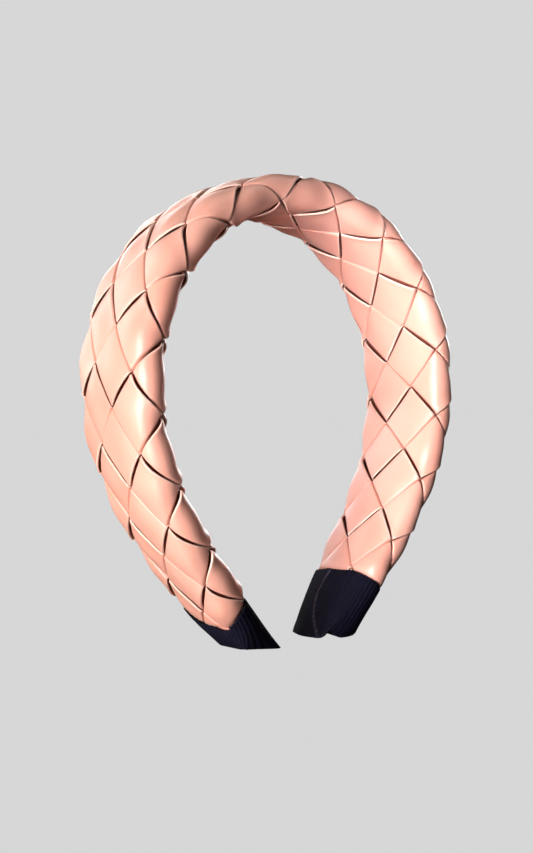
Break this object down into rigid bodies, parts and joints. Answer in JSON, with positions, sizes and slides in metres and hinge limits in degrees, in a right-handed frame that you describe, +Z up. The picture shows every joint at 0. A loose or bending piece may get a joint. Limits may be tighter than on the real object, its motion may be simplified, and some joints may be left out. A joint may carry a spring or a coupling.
{
  "type": "woven headband",
  "caption": "Padded arched headband woven from flat leather strips over a dark core, with black ribbed ribbon bound round both tips.",
  "frame": {"origin": "on the floor, midway between the two tips, under the middle of the arch", "axes": "+Z up through the crown, +X from the left tip to the right tip, +Y from the front edge of the band to the back edge"},
  "size_m": [0.1368, 0.041, 0.1611],
  "materials": {
    "leather": "satin nappa, smooth, folded edges",
    "core_cover": "matt knit",
    "ribbon": "ribbed grosgrain, matt"
  },
  "bodies": {
    "root": {"padded_core": "core_cover", "ribbon_end_left": "ribbon", "ribbon_end_right": "ribbon", "leather_strip_1": "leather", "leather_strip_2": "leather", "leather_strip_3": "leather", "leather_strip_4": "leather", "leather_strip_5": "leather", "leather_strip_6": "leather", "leather_strip_7": "leather", "leather_strip_8": "leather"}
  },
  "joints": []
}
